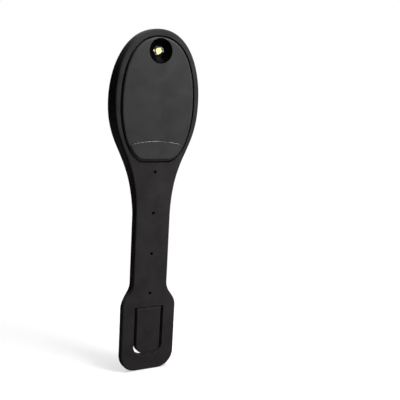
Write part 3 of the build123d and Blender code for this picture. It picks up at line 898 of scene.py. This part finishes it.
# %% Working the package
package_low, package_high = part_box("lamp_base")
package_half = (package_high.x - package_low.x) / 2
package_rounding = 0.1 * mm
package_rim = 0.12 * mm
package_recess = 0.04 * mm
lead_inner = 0.85 * mm
lead_half = 0.24 * mm
painted_glint_low = 0.42 * mm
painted_glint_high = 0.95 * mm


def is_silvered(face):
    """True for the two leads and for the painted glint at the upper right."""
    across = face.center.x
    up = face.center.z - lamp_height
    lead = abs(across) > lead_inner and abs(up) < lead_half
    # A painted glint at the upper right stands in for a reflection on the dome.
    painted_glint = painted_glint_low < across and painted_glint_low < up < painted_glint_high
    return lead or painted_glint


def make_package():
    """Black package under the dome, with two leads painted near white and a painted glint."""
    bpy.ops.object.select_all(action="DESELECT")
    depth = package_high.y - package_low.y
    place = (0, (package_low.y + package_high.y) / 2, lamp_height)
    bpy.ops.mesh.primitive_cube_add(size=1, location=place, rotation=(0, math.pi / 4, 0),
                                    scale=(2 * package_half, depth, 2 * package_half))
    package = name_piece("lamp_package")
    edit(package)
    pick(package, "EDGE", lambda edge: not same(edge.verts[0].co.y, edge.verts[1].co.y))
    bpy.ops.mesh.bevel(offset=package_rounding, segments=3, affect="EDGES")
    pick(package, "FACE", lambda face: same(middle(face).y, package_low.y))
    bpy.ops.mesh.inset(thickness=package_rim)
    push_back(package_recess)
    for across in (-lead_inner, painted_glint_low, lead_inner):
        bpy.ops.mesh.select_all(action="SELECT")
        bpy.ops.mesh.bisect(plane_co=(across, 0, 0), plane_no=(1, 0, 0), threshold=on_plane)
    for up in (-lead_half, lead_half, painted_glint_low, painted_glint_high):
        bpy.ops.mesh.select_all(action="SELECT")
        bpy.ops.mesh.bisect(plane_co=(0, 0, lamp_height + up), plane_no=(0, 0, 1),
                            threshold=on_plane)
    leave_edit()
    tidy_mesh(package)
    smooth(package)
    package.data.materials.append(package_finish)
    package.data.materials.append(leads_and_painted_glint_finish)
    for face in package.data.polygons:
        face.material_index = 1 if is_silvered(face) else 0
    return package


lamp_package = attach(make_package(), "head")
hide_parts("lamp_base")

# %% Working the dome
lens_low, lens_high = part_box("lamp_lens")
phosphor_low, phosphor_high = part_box("lamp_phosphor")
seat_gap = 0.02 * mm


def make_dome():
    """Clear dome over the light source."""
    radius = (lens_high.x - lens_low.x) / 2
    height = lens_high.y - lens_low.y
    ball_radius = (radius ** 2 + height ** 2) / (2 * height)
    bpy.ops.object.select_all(action="DESELECT")
    bpy.ops.mesh.primitive_uv_sphere_add(segments=72, ring_count=64, radius=ball_radius,
                                         location=(0, lens_low.y + ball_radius, lamp_height),
                                         rotation=(math.pi / 2, 0, 0))
    dome = name_piece("lamp_dome")
    seat = lens_high.y - seat_gap
    edit(dome)
    bpy.ops.mesh.select_all(action="SELECT")
    bpy.ops.mesh.bisect(plane_co=(0, seat, 0), plane_no=(0, 1, 0), clear_outer=True, use_fill=True,
                        threshold=on_plane)
    pick(dome, "FACE", lambda face: same(middle(face).y, seat) and len(face.verts) > 4)
    phosphor_radius = (phosphor_high.x - phosphor_low.x) / 2
    bpy.ops.mesh.inset(thickness=radius - phosphor_radius - seat_gap)
    push_back(phosphor_low.y - seat_gap - seat)
    leave_edit()
    tidy_mesh(dome)
    smooth(dome)
    dome.data.materials.append(dome_finish)
    return dome


lamp_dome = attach(make_dome(), "head")
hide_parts("lamp_lens")
print("dome faces:", len(lamp_dome.data.polygons))


# %% [markdown]
# ## Floor, flag and backdrop
#
# The light stands before plain white. A pale floor under the foot keeps its shadow. The white
# around it comes from the world, where rays that go straight to the camera, or by way of gloss or
# glass, meet white, while the soft light that the world throws on the object is weaker. A black
# flag to the left, which the camera doesn't see, keeps that side of the light dark, as a
# photographer does to give a black thing a crisp edge. The floor throws little light back up for
# the same reason.

# %% White for the eye, soft light for the object
world_light = 0.22


def seen_directly(tree):
    """1 for rays that show the surroundings: camera, gloss and glass."""
    rays = add_node(tree, "ShaderNodeLightPath")
    first = add_node(tree, "ShaderNodeMath", operation="MAXIMUM")
    second = add_node(tree, "ShaderNodeMath", operation="MAXIMUM")
    tree.links.new(rays.outputs["Is Camera Ray"], first.inputs[0])
    tree.links.new(rays.outputs["Is Glossy Ray"], first.inputs[1])
    tree.links.new(first.outputs[0], second.inputs[0])
    tree.links.new(rays.outputs["Is Transmission Ray"], second.inputs[1])
    return second.outputs[0]


def make_world():
    """White surroundings that light the object only softly."""
    world = bpy.data.worlds.new("white_room")
    bpy.context.scene.world = world
    world.use_nodes = True
    tree = world.node_tree
    soft = tree.nodes["Background"]
    soft.inputs["Color"].default_value = (1, 1, 1, 1)
    soft.inputs["Strength"].default_value = world_light
    white = add_node(tree, "ShaderNodeBackground", {"Color": (1, 1, 1, 1), "Strength": 1.0})
    mix = add_node(tree, "ShaderNodeMixShader")
    tree.links.new(seen_directly(tree), mix.inputs[0])
    tree.links.new(soft.outputs[0], mix.inputs[1])
    tree.links.new(white.outputs[0], mix.inputs[2])
    tree.links.new(mix.outputs[0], tree.nodes["World Output"].inputs["Surface"])


make_world()


# %% Floor and flag
floor_side = 3
shadow_reach = 0.02
white_reach = 0.11
near_glow = 0.5


def make_floor_finish():
    """Near-white paper with a faint tooth, which turns to plain white away from the foot."""
    material = make_finish("white_paper", tint(246, 246, 246), tint(250, 250, 250), (0.8, 0.9),
                           0.6, 0.02, patch_mm=80.0, wear=0.0, dust=0.0, specular=0.1)
    tree = material.node_tree
    rays = add_node(tree, "ShaderNodeLightPath")
    colour = tree.nodes["Principled BSDF"].inputs["Base Color"]
    bounce = mix_colour(tree, rays.outputs["Is Diffuse Ray"], colour.links[0].from_socket,
                        tint(70, 70, 70))
    tree.links.new(bounce, colour)
    glow = add_node(tree, "ShaderNodeEmission", {"Color": (1, 1, 1, 1), "Strength": 1.0})
    place = add_node(tree, "ShaderNodeTexCoord")
    distance = add_node(tree, "ShaderNodeVectorMath", operation="LENGTH")
    fade = add_node(tree, "ShaderNodeMapRange",
                    {"From Min": shadow_reach, "From Max": white_reach, "To Min": near_glow},
                    interpolation_type="SMOOTHSTEP")
    shown = add_node(tree, "ShaderNodeMath", operation="MULTIPLY")
    mix = add_node(tree, "ShaderNodeMixShader")
    tree.links.new(place.outputs["Object"], distance.inputs[0])
    tree.links.new(distance.outputs["Value"], fade.inputs["Value"])
    tree.links.new(fade.outputs["Result"], shown.inputs[0])
    tree.links.new(seen_directly(tree), shown.inputs[1])
    tree.links.new(shown.outputs[0], mix.inputs[0])
    tree.links.new(tree.nodes["Principled BSDF"].outputs[0], mix.inputs[1])
    tree.links.new(glow.outputs[0], mix.inputs[2])
    tree.links.new(mix.outputs[0], tree.nodes["Material Output"].inputs["Surface"])
    return material


bpy.ops.object.select_all(action="DESELECT")
bpy.ops.mesh.primitive_plane_add(size=floor_side, location=(0, 0, cad_box[0].z))
floor = name_piece("floor")
floor.data.materials.append(make_floor_finish())

bpy.ops.object.select_all(action="DESELECT")
bpy.ops.mesh.primitive_plane_add(size=1, location=(-0.13, 0.35, 0.2), rotation=(0, math.pi / 2, 0),
                                 scale=(0.42, 1.1, 1))
flag = name_piece("black_flag")
flag.data.materials.append(make_finish("black_cloth", tint(4, 4, 4), tint(6, 6, 6), (0.9, 1.0),
                                       0.5, 0.05, wear=0.0, dust=0.0, specular=0.0))
flag.visible_camera = False

# %% [markdown]
# ## Lamps and camera
#
# One soft lamp stands near, high on the right, so that the panel is lighter at its upper right
# and every rounded edge on that side catches light. A weaker one above lights the upper edges,
# one behind lights the back without touching the dark left side, and a faint one low on the
# right lifts the neck and the lower edges a little. The camera stands left of the light, a
# little above its head, and looks slightly down with a long lens, as in the photograph.


# %% Lamps
def add_lamp(name, place, goal, size, power):
    """A square soft lamp at a place, facing a goal."""
    data = bpy.data.lights.new(name, "AREA")
    data.size = size
    data.energy = power
    lamp = bpy.data.objects.new(name, data)
    bpy.context.scene.collection.objects.link(lamp)
    back = Matrix.Translation(place).translation - Matrix.Translation(goal).translation
    lamp.location = place
    lamp.rotation_euler = back.to_track_quat("Z", "Y").to_euler()
    return lamp


goal = (0, 0, 0.08)
add_lamp("right_lamp", (0.045, -0.06, 0.166), goal, 0.05, 0.215)
add_lamp("upper_lamp", (0.07, -0.06, 0.4), goal, 0.15, 0.8)
add_lamp("back_lamp", (0.1, 0.28, 0.3), goal, 0.15, 1.0)
add_lamp("low_lamp", (0.04, -0.05, 0.02), (0, 0, 0.05), 0.04, 0.014)

# %% Camera
camera_place = (-0.08386, -0.17884, 0.08471)
turn = -0.505
pitch = 0.1745
roll = -0.0562
camera_data = bpy.data.cameras.new("camera")
camera_data.sensor_width = 36
camera_data.lens = 63
camera_data.clip_start = 0.01
camera = bpy.data.objects.new("camera", camera_data)
bpy.context.scene.collection.objects.link(camera)
turned = Matrix.Rotation(turn, 3, "Z") @ Matrix.Rotation(math.pi / 2 - pitch, 3, "X")
camera.rotation_euler = (turned @ Matrix.Rotation(-roll, 3, "Z")).to_euler()
camera.location = camera_place
bpy.context.scene.camera = camera
bpy.context.scene.view_settings.view_transform = "Standard"

# %% [markdown]
# ## The box of the CAD model
#
# The box of the CAD model is printed, in millimetres.

# %% Size of the CAD model
print("CAD box, mm:", [[round(value / mm, 2) for value in corner] for corner in cad_box])
